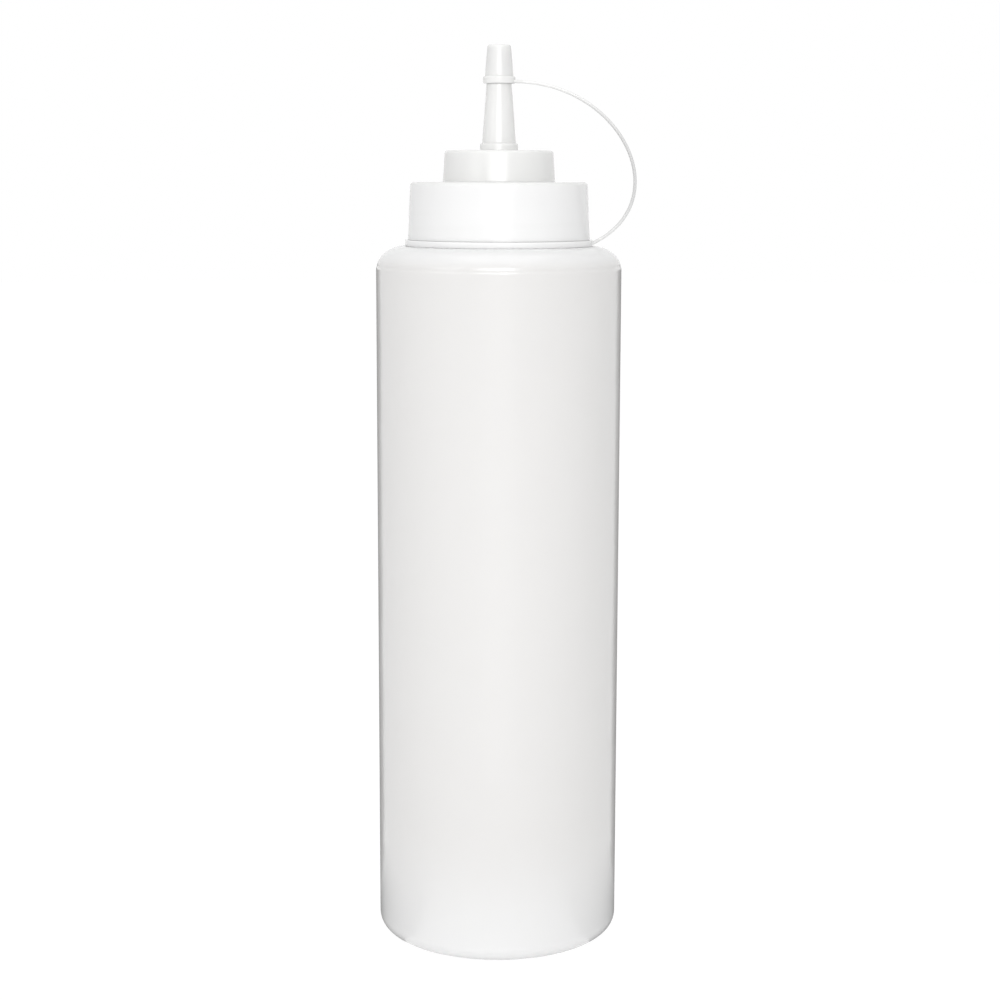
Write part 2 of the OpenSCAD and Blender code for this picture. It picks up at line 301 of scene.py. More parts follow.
def turned_tree():
    """Turns a profile about the Z axis and raises a thread on the points whose thread_side isn't 0."""
    tree, given = named_tree(
        "Turned moulding",
        {
            "Geometry": ["Profile"],
            "Int": ["Steps"],
            "Float": ["Pitch", "Depth", "Foot", "Crest", "Start", "Turns", "Lead", "Corner angle"],
            "Material": ["Material"],
        },
    )
    size = add_node(tree, "GeometryNodeAttributeDomainSize", {0: given["Profile"]}, component="MESH")
    columns = add_node(tree, "ShaderNodeMath", {0: given["Steps"], 1: 1}, operation="ADD")
    sheet = add_node(tree, "GeometryNodeMeshGrid", {"Vertices X": size, "Vertices Y": columns})

    # Each point of the sheet is one point of the profile at one step of the turn
    index = add_node(tree, "GeometryNodeInputIndex")
    share = add_node(tree, "ShaderNodeMath", {0: index, 1: columns}, operation="DIVIDE")
    row = add_node(tree, "ShaderNodeMath", {0: share}, operation="FLOOR")
    step = add_node(tree, "ShaderNodeMath", {0: index, 1: columns}, operation="MODULO")
    turn = add_node(tree, "ShaderNodeMath", {0: step, 1: given["Steps"]}, operation="DIVIDE")
    place = add_node(tree, "GeometryNodeInputPosition")
    point = add_node(
        tree,
        "GeometryNodeSampleIndex",
        {0: given["Profile"], "Value": place, "Index": row},
        data_type="FLOAT_VECTOR",
    )
    flag = add_node(tree, "GeometryNodeInputNamedAttribute", {"Name": "thread_side"}, data_type="FLOAT")
    side = add_node(
        tree,
        "GeometryNodeSampleIndex",
        {0: given["Profile"], "Value": flag, "Index": row},
        data_type="FLOAT",
    )
    parts = add_node(tree, "ShaderNodeSeparateXYZ", {0: point})

    # Distance of the point from the nearest turn of the helix, and how far along the helix that is
    above = add_node(
        tree, "ShaderNodeMath", {0: parts.outputs["Z"], 1: given["Start"]}, operation="SUBTRACT"
    )
    turns_up = add_node(tree, "ShaderNodeMath", {0: above, 1: given["Pitch"]}, operation="DIVIDE")
    phase = add_node(tree, "ShaderNodeMath", {0: turns_up, 1: turn}, operation="SUBTRACT")
    nearest = add_node(tree, "ShaderNodeMath", {0: phase}, operation="ROUND")
    off = add_node(tree, "ShaderNodeMath", {0: phase, 1: nearest}, operation="SUBTRACT")
    off_size = add_node(tree, "ShaderNodeMath", {0: off}, operation="ABSOLUTE")
    distance = add_node(tree, "ShaderNodeMath", {0: off_size, 1: given["Pitch"]}, operation="MULTIPLY")
    along = add_node(tree, "ShaderNodeMath", {0: nearest, 1: turn}, operation="ADD")
    foot = add_node(tree, "ShaderNodeMath", {0: given["Foot"], 1: 0.5}, operation="MULTIPLY")
    crest = add_node(tree, "ShaderNodeMath", {0: given["Crest"], 1: 0.5}, operation="MULTIPLY")
    section = add_node(
        tree,
        "ShaderNodeMapRange",
        {"Value": distance, "From Min": foot, "From Max": crest},
        interpolation_type="SMOOTHSTEP",
    )
    rise = add_node(
        tree,
        "ShaderNodeMapRange",
        {"Value": along, "From Max": given["Lead"]},
        interpolation_type="SMOOTHSTEP",
    )
    left = add_node(tree, "ShaderNodeMath", {0: given["Turns"], 1: along}, operation="SUBTRACT")
    fall = add_node(
        tree,
        "ShaderNodeMapRange",
        {"Value": left, "From Max": given["Lead"]},
        interpolation_type="SMOOTHSTEP",
    )
    ends = add_node(tree, "ShaderNodeMath", {0: rise, 1: fall}, operation="MULTIPLY")
    ridge = add_node(tree, "ShaderNodeMath", {0: section, 1: ends}, operation="MULTIPLY")

    # The thread stands out from the surface on its own side
    height = add_node(tree, "ShaderNodeMath", {0: ridge, 1: given["Depth"]}, operation="MULTIPLY")
    radius = add_node(
        tree, "ShaderNodeMath", {0: height, 1: side, 2: parts.outputs["X"]}, operation="MULTIPLY_ADD"
    )
    angle = add_node(tree, "ShaderNodeMath", {0: turn, 1: 2 * math.pi}, operation="MULTIPLY")
    cosine = add_node(tree, "ShaderNodeMath", {0: angle}, operation="COSINE")
    sine = add_node(tree, "ShaderNodeMath", {0: angle}, operation="SINE")
    x = add_node(tree, "ShaderNodeMath", {0: radius, 1: cosine}, operation="MULTIPLY")
    y = add_node(tree, "ShaderNodeMath", {0: radius, 1: sine}, operation="MULTIPLY")
    spot = add_node(tree, "ShaderNodeCombineXYZ", {0: x, 1: y, 2: parts.outputs["Z"]})
    noted = add_node(
        tree,
        "GeometryNodeStoreNamedAttribute",
        {0: sheet, "Name": "thread_here", "Value": ridge},
        data_type="FLOAT",
    )
    turned = add_node(tree, "GeometryNodeSetPosition", {0: noted, "Position": spot})
    closed = add_node(tree, "GeometryNodeMergeByDistance", {0: turned, "Distance": SEAM})
    return close_tree(tree, closed, given)


def strap_tree():
    """Sweeps a flat section with rounded edges along a cubic curve, widening it towards both ends."""
    tree, given = named_tree(
        "Bowed strap",
        {
            "Vector": ["From", "From handle", "To handle", "To"],
            "Float": ["Width", "Thickness", "Edge radius", "Flare", "Corner angle"],
            "Int": ["Steps"],
            "Material": ["Material"],
        },
    )
    line = add_node(
        tree,
        "GeometryNodeCurvePrimitiveBezierSegment",
        {
            "Resolution": given["Steps"],
            "Start": given["From"],
            "Start Handle": given["From handle"],
            "End Handle": given["To handle"],
            "End": given["To"],
        },
        mode="POSITION",
    )
    resampled = add_node(tree, "GeometryNodeResampleCurve", {0: line, "Count": given["Steps"]})
    across = add_node(
        tree, "GeometryNodeSetCurveNormal", {0: resampled, "Normal": (0, 1, 0)}, mode="FREE"
    )
    along = add_node(tree, "GeometryNodeSplineParameter")
    noted = add_node(
        tree,
        "GeometryNodeStoreNamedAttribute",
        {0: across, "Name": "along", "Value": along.outputs["Factor"]},
        data_type="FLOAT",
    )
    block = add_node(
        tree, "GeometryNodeCurvePrimitiveQuadrilateral", {0: given["Width"], 1: given["Thickness"]}
    )
    section = add_node(
        tree,
        "GeometryNodeFilletCurve",
        {0: block, "Radius": given["Edge radius"], "Count": 3},
        mode="POLY",
    )
    swept = add_node(
        tree, "GeometryNodeCurveToMesh", {0: noted, "Profile Curve": section, "Fill Caps": True}
    )
    where = add_node(tree, "GeometryNodeInputNamedAttribute", {"Name": "along"}, data_type="FLOAT")
    middle = add_node(tree, "ShaderNodeMath", {0: where, 1: 0.5}, operation="SUBTRACT")
    end = add_node(tree, "ShaderNodeMath", {0: middle}, operation="ABSOLUTE")
    open_up = add_node(
        tree,
        "ShaderNodeMapRange",
        {"Value": end, "From Min": FLARE_FROM, "From Max": FLARE_TO},
        interpolation_type="SMOOTHSTEP",
    )
    half = add_node(tree, "ShaderNodeMath", {0: given["Width"], 1: 0.5}, operation="MULTIPLY")
    share = add_node(tree, "ShaderNodeMath", {0: given["Flare"], 1: half}, operation="DIVIDE")
    widen = add_node(tree, "ShaderNodeMath", {0: open_up, 1: share}, operation="MULTIPLY")
    place = add_node(tree, "GeometryNodeInputPosition")
    parts = add_node(tree, "ShaderNodeSeparateXYZ", {0: place})
    aside = add_node(tree, "ShaderNodeMath", {0: parts.outputs["Y"], 1: widen}, operation="MULTIPLY")
    shift = add_node(tree, "ShaderNodeCombineXYZ", {"Y": aside})
    flared = add_node(tree, "GeometryNodeSetPosition", {0: swept, "Offset": shift})

    # How much painted shade greys the strap's plastic, for the room showing through it: least at its
    # two ends
    drawn = add_node(
        tree,
        "ShaderNodeMapRange",
        {"Value": where, "From Max": SHADE_FROM},
        interpolation_type="SMOOTHSTEP",
    )
    full = add_node(
        tree,
        "ShaderNodeMapRange",
        {"Value": where, "From Min": SHADE_END, "From Max": SHADE_TO},
        interpolation_type="SMOOTHSTEP",
    )
    thin_shade_share = add_node(tree, "ShaderNodeMath", {0: drawn, 1: full}, operation="MULTIPLY")
    thin_shade = add_node(
        tree,
        "GeometryNodeStoreNamedAttribute",
        {0: flared, "Name": "thin_shade", "Value": thin_shade_share},
        data_type="FLOAT",
    )
    return close_tree(tree, thin_shade, given)


def grow(tree, name, values, base=None):
    """The plain mesh that a tree makes, as an object at the origin."""
    piece = bpy.data.objects.new(name, base or bpy.data.meshes.new(name))
    bpy.context.scene.collection.objects.link(piece)
    modifier = piece.modifiers.new("Shape", "NODES")
    modifier.node_group = tree
    sockets = {s.name: s.identifier for s in tree.interface.items_tree if s.in_out == "INPUT"}
    for label, value in values.items():
        modifier[sockets[label]] = value
    bpy.context.view_layer.update()
    evaluated = piece.evaluated_get(bpy.context.evaluated_depsgraph_get())
    made = bpy.data.meshes.new_from_object(evaluated)
    piece.modifiers.remove(modifier)
    piece.data = made
    made.name = name
    made.materials.clear()
    made.materials.append(values["Material"])
    face_out(made)
    return piece


def face_out(mesh):
    """Closes the mesh's seams and turns all its faces outwards."""
    work = bmesh.new()
    work.from_mesh(mesh)
    for face in work.faces:
        face.material_index = 0
    bmesh.ops.remove_doubles(work, verts=work.verts, dist=SEAM / 2)
    bmesh.ops.recalc_face_normals(work, faces=work.faces)
    work.to_mesh(mesh)
    work.free()


def arc(x, z, rx, rz, start, stop, steps):
    """Points of an ellipse's arc about (x, z), with its angles in degrees."""
    turns = [math.radians(start + (stop - start) * i / steps) for i in range(steps + 1)]
    return [(x + rx * math.cos(a), z + rz * math.sin(a)) for a in turns]


def fillet(before, corner, after, radius, steps=5):
    """Points of the arc that rounds a corner between two straight lines."""
    c = Vector(corner)
    u, v = (Vector(before) - c).normalized(), (Vector(after) - c).normalized()
    half = u.angle(v) / 2
    reach = radius / math.tan(half)
    centre = c + (u + v).normalized() * (radius / math.sin(half))
    start, stop = c + u * reach - centre, c + v * reach - centre
    sweep = math.atan2(start.x * stop.y - start.y * stop.x, start.dot(stop))
    return [
        (
            centre.x + start.x * math.cos(a) - start.y * math.sin(a),
            centre.y + start.x * math.sin(a) + start.y * math.cos(a),
        )
        for a in (sweep * i / steps for i in range(steps + 1))
    ]


def rows(low, high, radius_low, radius_high, spacing=0.25 * MM):
    """Close rows of points from one height to another."""
    count = max(2, round(abs(high - low) / spacing))
    return [
        (radius_low + (radius_high - radius_low) * i / count, low + (high - low) * i / count)
        for i in range(count + 1)
    ]


def profile_mesh(name, stretches):
    """A chain of points in the XZ plane. stretches holds (thread side, points) in order."""
    points = [(x, z, side) for side, stretch in stretches for x, z in stretch]
    mesh = bpy.data.meshes.new(name + " profile")
    edges = [(i, i + 1) for i in range(len(points) - 1)]
    mesh.from_pydata([(x, 0, z) for x, z, _ in points], edges, [])
    sides = mesh.attributes.new("thread_side", "FLOAT", "POINT")
    sides.data.foreach_set("value", [side for _, _, side in points])
    return mesh


def turn_piece(name, stretches, material, thread=None, steps=192):
    """A piece turned from its profile, threaded where its profile says so."""
    tree = bpy.data.node_groups.get("Turned moulding") or turned_tree()
    values = {"Steps": steps, "Corner angle": TURNED_CORNER, "Material": material}
    # A piece without a thread still needs a pitch and a lead that can be divided by
    values |= thread or {"Pitch": 1.0, "Lead": 1.0}
    return grow(tree, name, values, profile_mesh(name, stretches))


def neck_thread(sizes):
    """Inputs of the thread on the neck."""
    labels = ("Pitch", "Depth", "Foot", "Crest", "Start", "Turns", "Lead")
    return {label: getattr(sizes, label.lower()) for label in labels}


def cap_thread(sizes):
    """Inputs of the thread in the cap, which runs half a pitch away from the one on the neck."""
    delay = 0.15  # of a turn, so that the thread starts above the skirt's open end
    start = sizes.start - sizes.pitch / 2
    return neck_thread(sizes) | {"Start": start, "Turns": sizes.turns + delay}


def plastic(name, base, roughness, texture_size, texture_depth, wave_size, wave_depth, milky=1.0):
    """Natural low-density polyethylene. To the eye it is milky: light enters it, spreads inside and
    softens every shadow, under a skin that shines weakly. The grain and the waves are bumps.
    """
    material = bpy.data.materials.new(name)
    material.use_nodes = True
    tree = material.node_tree
    shader = tree.nodes["Principled BSDF"]
    shader.inputs["Base Color"].default_value = base
    shader.inputs["Roughness"].default_value = roughness
    shader.inputs["IOR"].default_value = 1.51  # of polyethylene
    shader.inputs["Subsurface Weight"].default_value = milky
    shader.inputs["Subsurface Radius"].default_value = (1.0, 1.0, 1.0)  # each colour spreads as far
    shader.inputs["Subsurface Scale"].default_value = 1.0 * MM
    where = add_node(tree, "ShaderNodeTexCoord")
    grain = add_node(
        tree,
        "ShaderNodeTexNoise",
        {"Vector": where.outputs["Object"], "Scale": 1 / texture_size, "Detail": 3.0},
    )
    waves = add_node(
        tree,
        "ShaderNodeTexNoise",
        {"Vector": where.outputs["Object"], "Scale": 1 / wave_size, "Detail": 1.0},
    )
    fine = add_node(tree, "ShaderNodeBump", {"Distance": texture_depth, "Height": grain.outputs["Fac"]})
    both = add_node(
        tree,
        "ShaderNodeBump",
        {"Distance": wave_depth, "Height": waves.outputs["Fac"], "Normal": fine},
    )
    tree.links.new(both.outputs["Normal"], shader.inputs["Normal"])
    return material


def bottle_plastic():
    """Blown LDPE. It gives the eye a satin skin from the blasted mould, soft waves where the wall
    thinned as it was blown, and a whiter shoulder and base: partly where the wall stayed thick, and
    partly painted light, a painted reflection of the bright room on the shoulder and painted floor
    light on the base. The mould's grain is drawn several times as coarse as it is, so that it shows.
    """
    sizes, finish = bpy.context.scene.sauce_bottle, bpy.context.scene.sauce_finish
    material = plastic(
        "Blown natural LDPE",
        base=finish.bottle,
        roughness=0.2,
        texture_size=0.6 * MM,
        texture_depth=0.01 * MM,
        wave_size=18 * MM,
        wave_depth=0.25 * MM,
    )
    # The shoulder and base are whitened partly for their thicker wall and partly as painted light
    shoulder_from, shoulder_to = sizes.side_top + 1.5 * MM, sizes.side_top + 5 * MM
    base_from = 40 * MM
    tree = material.node_tree
    where = add_node(tree, "ShaderNodeTexCoord")
    parts = add_node(tree, "ShaderNodeSeparateXYZ", {0: where.outputs["Object"]})
    shoulder = add_node(
        tree,
        "ShaderNodeMapRange",
        {"Value": parts.outputs["Z"], "From Min": shoulder_from, "From Max": shoulder_to},
        interpolation_type="SMOOTHSTEP",
    )
    base = add_node(
        tree,
        "ShaderNodeMapRange",
        {"Value": parts.outputs["Z"], "From Min": base_from, "From Max": 0.0},
        interpolation_type="SMOOTHSTEP",
    )
    thick_and_lit = add_node(tree, "ShaderNodeMath", {0: shoulder, 1: base}, operation="MAXIMUM")
    tint = add_node(
        tree,
        "ShaderNodeMix",
        {"Factor": thick_and_lit, 6: finish.bottle, 7: finish.bottle_thick_and_lit},
        data_type="RGBA",
    )
    tree.links.new(tint.outputs[2], tree.nodes["Principled BSDF"].inputs["Base Color"])
    return material


def closure_plastic():
    """Injection-moulded LDPE. It gives the eye an even, finer skin than the bottle's, painted light
    below the deck, where the skirt and the ring are whitened for the light that the neck behind them
    sends back through, and faint painted shade in level bands where the thread inside shows through the
    skirt.
    """
    found = bpy.data.materials.get("Moulded natural LDPE")
    if found:
        return found
    finish = bpy.context.scene.sauce_finish
    material = plastic(
        "Moulded natural LDPE",
        base=finish.closure,
        roughness=0.25,
        texture_size=0.5 * MM,
        texture_depth=0.004 * MM,
        wave_size=9 * MM,
        wave_depth=0.08 * MM,
    )
    deck = bpy.context.scene.sauce_cap.deck
    backlight_from, backlight_to = deck - 0.3 * MM, deck - 1.5 * MM
    thread_shade_share = 0.12
    tree = material.node_tree
    where = add_node(tree, "ShaderNodeTexCoord")
    parts = add_node(tree, "ShaderNodeSeparateXYZ", {0: where.outputs["Object"]})
    # Painted light: below the deck the plastic is whitened for the light that the neck sends back
    # through the skirt
    painted_backlight = add_node(
        tree,
        "ShaderNodeMapRange",
        {"Value": parts.outputs["Z"], "From Min": backlight_from, "From Max": backlight_to},
        interpolation_type="SMOOTHSTEP",
    )
    tint = add_node(
        tree,
        "ShaderNodeMix",
        {"Factor": painted_backlight, 6: finish.closure, 7: finish.closure_painted_backlight},
        data_type="RGBA",
    )
    # Painted shade: faint darker bands where the thread inside the skirt shows through it
    ridge = add_node(tree, "ShaderNodeAttribute", attribute_name="thread_here").outputs["Fac"]
    thread_shade = add_node(tree, "ShaderNodeMath", {0: ridge, 1: thread_shade_share}, operation="MULTIPLY")
    thread_shaded = add_node(
        tree,
        "ShaderNodeMix",
        {"Factor": thread_shade, 6: tint.outputs[2], 7: finish.closure},
        data_type="RGBA",
    )
    tree.links.new(thread_shaded.outputs[2], tree.nodes["Principled BSDF"].inputs["Base Color"])
    return material


def strap_plastic():
    """The closure's LDPE, under a millimetre thick. It gives the eye a greyer line, painted shade for
    the little light that so thin a plastic scatters back, and that painted shade fades at both ends,
    where thicker plastic backs it.
    """
    finish = bpy.context.scene.sauce_finish
    material = plastic(
        "Thin moulded natural LDPE",
        base=finish.closure,
        roughness=0.25,
        texture_size=0.5 * MM,
        texture_depth=0.001 * MM,
        wave_size=9 * MM,
        wave_depth=0.08 * MM,
        milky=0.0,
    )
    tree = material.node_tree
    # Painted shade: the strap is greyed where its tree marks it, for the room showing through
    thin_shade = add_node(tree, "ShaderNodeAttribute", attribute_name="thin_shade")
    tint = add_node(
        tree,
        "ShaderNodeMix",
        {"Factor": thin_shade.outputs["Fac"], 6: finish.closure, 7: finish.closure_thin_shade},
        data_type="RGBA",
    )
    tree.links.new(tint.outputs[2], tree.nodes["Principled BSDF"].inputs["Base Color"])
    return material


def foam_plastic():
    """Foamed polyethylene. It gives the eye a dull white face with the dents of its cells, drawn at
    half a millimetre, about twice their real size, so that they show.
    """
    material = bpy.data.materials.new("Foamed polyethylene")
    material.use_nodes = True
    tree = material.node_tree
    shader = tree.nodes["Principled BSDF"]
    shader.inputs["Base Color"].default_value = bpy.context.scene.sauce_finish.foam
    shader.inputs["Roughness"].default_value = 0.7
    cell_size, dent_depth = 0.5 * MM, 0.06 * MM
    where = add_node(tree, "ShaderNodeTexCoord")
    cells = add_node(
        tree, "ShaderNodeTexVoronoi", {"Vector": where.outputs["Object"], "Scale": 1 / cell_size}
    )
    deep = cells.outputs["Distance"]
    dents = add_node(tree, "ShaderNodeBump", {"Distance": dent_depth, "Height": deep})
    tree.links.new(dents.outputs["Normal"], shader.inputs["Normal"])
    return material


def card_paint():
    """Painted card. It gives the eye a dark edge in the bottle's skin, with no sharp end to it, as the
    card's black fades to the floor's white further out.
    """
    material = bpy.data.materials.new("Black card")
    material.use_nodes = True
    tree = material.node_tree
    black, white = bpy.context.scene.sauce_finish.card, linear("#FFFFFF")
    black_until = 0.1
    fade = add_node(tree, "ShaderNodeAttribute", attribute_name="fade")
    eased = add_node(
        tree,
        "ShaderNodeMapRange",
        {"Value": fade.outputs["Fac"], "From Min": black_until},
        interpolation_type="SMOOTHSTEP",
    )
    tint = add_node(tree, "ShaderNodeMix", {"Factor": eased, 6: black, 7: white}, data_type="RGBA")
    tree.links.new(tint.outputs[2], tree.nodes["Principled BSDF"].inputs["Base Color"])
    return material


class SAUCE_OT_bottle(bpy.types.Operator):
    """Blows the bottle: one wall from the pushed-up base to the threaded neck"""

    bl_idname = "sauce.bottle"
    bl_label = "Bottle"

    def execute(self, context):
        s, t = context.scene.sauce_bottle, context.scene.sauce_thread
        foot_out = s.body_radius - s.base_corner
        foot_in = foot_out - s.foot_width
        shoulder_r = s.body_radius - s.shoulder_width
        shoulder_z = s.side_top + s.shoulder_height
        neck_foot, neck_rim = (s.neck_radius, shoulder_z), (s.neck_radius, s.lip_height)
        mouth = s.neck_radius - s.neck_wall
        low, high = t.start - t.foot / 2, s.lip_height - 2 * s.lip_edge

        rings = 14
        dome = [(foot_in * i / rings, s.push_up * (1 - (i / rings) ** 2)) for i in range(rings + 1)]
        shoulder = [
            (x - s.insert_line * math.exp(-(((z - s.insert_height) / s.insert_width) ** 2)), z)
            for x, z in arc(shoulder_r, s.side_top, s.shoulder_width, s.shoulder_height, 0, 90, 60)
        ]
        outside = (
            dome
            + arc(foot_out, s.base_corner, s.base_corner, s.base_corner, -90, 0, 10)
            + shoulder
            + fillet((shoulder_r, shoulder_z), neck_foot, neck_rim, s.lip_edge)
        )
        lip_z = s.lip_height - s.lip_edge
        lip = arc(s.neck_radius - s.lip_edge, lip_z, s.lip_edge, s.lip_edge, 0, 90, 6)
        lip += arc(mouth + s.lip_edge, lip_z, s.lip_edge, s.lip_edge, 90, 180, 6)
        inner_width, inner_height = s.shoulder_width - s.wall, s.shoulder_height - s.wall
        corner = s.base_corner - s.wall
        inside = (
            [(mouth, shoulder_z - s.wall)]
            + arc(shoulder_r, s.side_top, inner_width, inner_height, 90, 0, 14)
            + arc(foot_out, s.base_corner, corner, corner, 0, -90, 8)
            + [(x, z + s.wall) for x, z in reversed(dome)]
        )
        piece = turn_piece(
            "blown_bottle",
            [(0, outside), (1, rows(low, high, s.neck_radius, s.neck_radius)), (0, lip), (0, inside)],
            bottle_plastic(),
            neck_thread(t),
        )
        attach(piece, "bottle")
        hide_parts("bottle")
        return {"FINISHED"}


class SAUCE_OT_cap(bpy.types.Operator):
    """Moulds the screw cap with its collar and hollow nozzle, threaded inside the skirt"""

    bl_idname = "sauce.cap"
    bl_label = "Screw cap"

    def execute(self, context):
        s, t = context.scene.sauce_cap, context.scene.sauce_thread
        edge = s.skirt_edge
        collar_top_r = s.collar_radius - s.collar_draft
        cavity_r = s.collar_radius - s.collar_wall
        cavity_top_r = collar_top_r - s.collar_wall
        cavity_z = s.collar_top - s.collar_wall
        skirt_top = s.deck - s.deck_edge
        nozzle_bore = s.nozzle_radius - s.nozzle_wall
        tip_bore = s.tip_radius - s.nozzle_wall

        # Corners of the outside, from the bore's top down round the skirt and up to the nozzle's mouth
        bore_top, bore_low = (s.bore, s.bore_top), (s.bore, s.skirt_low)
        skirt_foot, deck_rim = (s.skirt_radius, s.skirt_low), (s.deck_radius, s.deck)
        collar_foot, collar_rim = (s.collar_radius, s.deck), (collar_top_r, s.collar_top)
        flange_foot, flange_rim = (s.flange_radius, s.collar_top), (s.flange_radius, s.flange_top)
        nozzle_foot, tip_rim = (s.nozzle_radius, s.flange_top), (s.tip_radius, s.tip_height)
        tip_mouth, bore_foot = (tip_bore, s.tip_height), (nozzle_bore, s.flange_top)

        mouth = fillet(bore_top, bore_low, skirt_foot, edge)
        mouth += fillet(bore_low, skirt_foot, deck_rim, edge)
        taper = (s.skirt_radius - s.deck_radius) / (skirt_top - s.skirt_low)
        skirt = rows(
            s.skirt_low + 2 * edge,
            skirt_top - edge,
            s.skirt_radius - 2 * edge * taper,
            s.deck_radius + edge * taper,
            spacing=0.35 * MM,
        )
        rim = s.collar_edge
        above = (
            arc(s.deck_radius - s.deck_edge, skirt_top, s.deck_edge, s.deck_edge, 0, 90, 8)
            + fillet(deck_rim, collar_foot, collar_rim, s.collar_root)
            + arc(collar_top_r - rim, s.collar_top - rim, rim, rim, 0, 90, 7)
            + fillet(collar_rim, flange_foot, flange_rim, s.nozzle_root)
            + fillet(flange_foot, flange_rim, nozzle_foot, s.small_edge)
            + fillet(flange_rim, nozzle_foot, tip_rim, s.nozzle_root)
            + fillet(nozzle_foot, tip_rim, tip_mouth, s.small_edge)
            + fillet(tip_rim, tip_mouth, bore_foot, s.small_edge)
        )
        below = [bore_foot, (nozzle_bore, cavity_z), (cavity_top_r, cavity_z), (cavity_r, s.bore_top)]
        below.append(bore_top)
        # The stretch of the bore that can carry the thread, which stops short of the washer
        thread_top, thread_low = s.bore_top - 2 * MM, s.skirt_low + 2 * edge
        piece = turn_piece(
            "nozzle_cap",
            [
                (0, mouth),
                (0, skirt),
                (0, above),
                (0, below),
                (-1, rows(thread_top, thread_low, s.bore, s.bore)),
                (0, [mouth[0]]),
            ],
            closure_plastic(),
            cap_thread(t),
        )
        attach(piece, "cap")
        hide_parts("screw_cap")
        return {"FINISHED"}


class SAUCE_OT_ring(bpy.types.Operator):
    """Moulds the ring that holds the strap round the neck"""

    bl_idname = "sauce.ring"
    bl_label = "Neck ring"

    def execute(self, context):
        s = context.scene.sauce_leash
        outer = context.scene.sauce_cap.skirt_radius + s.ring_reach
        low, high = RING_LOW.z - s.play, RING_HIGH.z + s.play
        e = s.ring_edge
        section = (
            fillet((s.ring_bore, high), (s.ring_bore, low), (outer, low), e / 2)
            + arc(outer - e, low + e, e, e, -90, 0, 5)
            + arc(outer - e, high - e, e, e, 0, 90, 5)
            + fillet((outer, high), (s.ring_bore, high), (s.ring_bore, low), e / 2)
        )
        piece = turn_piece("neck_ring", [(0, section + section[:1])], closure_plastic())
        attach(piece, "leash")
        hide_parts("tether_ring")
        return {"FINISHED"}


class SAUCE_OT_strap(bpy.types.Operator):
    """Moulds the flat strap that bows out from the tip cap and down to the neck ring"""

    bl_idname = "sauce.strap"
    bl_label = "Strap"

    def execute(self, context):
        s = context.scene.sauce_leash
        # The cubic curve of the packed frame's strap, with both ends inside the pieces they grow from
        start, start_handle = Vector((4.119, 0, 247.25)) * MM, Vector((35.319, 0, 247.25)) * MM
        end_handle, end = Vector((51.294, 0, 213.29)) * MM, Vector((26.4, 0, 201.93)) * MM
        piece = grow(
            strap_tree(),
            "bowed_strap",
            {
                "From": start,
                "From handle": start_handle,
                "To handle": end_handle,
                "To": end,
                "Width": s.strap_width,
                "Thickness": s.strap_thickness,
                "Edge radius": s.strap_edge,
                "Flare": s.strap_flare,
                "Steps": 120,
                "Corner angle": STRAP_CORNER,
                "Material": strap_plastic(),
            },
        )
        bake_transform(piece)
        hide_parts("tether_strap")
        return {"FINISHED"}


class SAUCE_OT_tip_cap(bpy.types.Operator):
    """Moulds the thimble that closes the nozzle, with the bead round its mouth"""

    bl_idname = "sauce.tip_cap"
    bl_label = "Tip cap"

    def execute(self, context):
        s, c = context.scene.sauce_leash, context.scene.sauce_cap
        fall = (c.nozzle_radius - c.tip_radius) / (c.tip_height - c.flange_top)
        low, high = TIP_LOW.z, TIP_HIGH.z
        bore_top = high - s.tip_top
        bore_low_r, bore_top_r, cone_top_r = (
            c.nozzle_radius - fall * (z - c.flange_top) + s.tip_gap for z in (low, bore_top, high)
        )
        outer_low, outer_top = bore_low_r + s.tip_wall, cone_top_r + s.tip_wall
        bead, e = outer_low + s.bead_out, s.bead_out
        bead_top = low + s.bead_height
        joint = outer_low - fall * s.bead_height
        bore_edge, bead_root, sink = 0.2 * MM, 0.3 * MM, 0.15 * MM
        section = (
            [(0, bore_top)]
            + fillet((0, bore_top), (bore_top_r, bore_top), (bore_low_r, low), bore_edge)
            + [(bore_low_r, low)]
            + arc(bead - e, low + e, e, e, -90, 0, 6)
            + arc(bead - e, bead_top - e, e, e, 0, 60, 5)
            + fillet((bead, bead_top - e), (joint, bead_top), (outer_top, high), bead_root)
            + arc(outer_top - s.tip_wall, high - s.tip_wall, s.tip_wall, s.tip_wall, 5, 90, 7)
            + [(0, high - sink)]
        )
        piece = turn_piece("tip_thimble", [(0, section)], closure_plastic(), steps=96)
        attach(piece, "tip_cap")
        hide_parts("tip_cap")
        return {"FINISHED"}


class SAUCE_OT_washer(bpy.types.Operator):
    """Gives the washer under the deck its foamed plastic"""

    bl_idname = "sauce.washer"
    bl_label = "Washer"

    def execute(self, context):
        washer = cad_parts["cap_liner"]
        washer.data.materials.clear()
        washer.data.materials.append(foam_plastic())
        return {"FINISHED"}


def photo_camera(scene):
    """The camera of the photograph, as it was fitted to the outline there."""
    s = scene.sauce_studio
    lens = bpy.data.cameras.new("Photo camera")
    lens.sensor_fit = "HORIZONTAL"
    lens.sensor_width = 36.0
    lens.lens = s.focal_pixels * lens.sensor_width / PHOTO_SIDE
    lens.shift_x = s.shift_pixels / PHOTO_SIDE
    lens.clip_start = 0.01
    camera = bpy.data.objects.new("Photo camera", lens)
    scene.collection.objects.link(camera)
    camera.location = (0, -s.camera_distance, s.camera_height)
    tilt = Euler((math.pi / 2 - s.camera_tilt, 0, 0)).to_quaternion()
    camera.rotation_euler = (tilt @ Euler((0, 0, s.camera_roll)).to_quaternion()).to_euler()
    scene.camera = camera


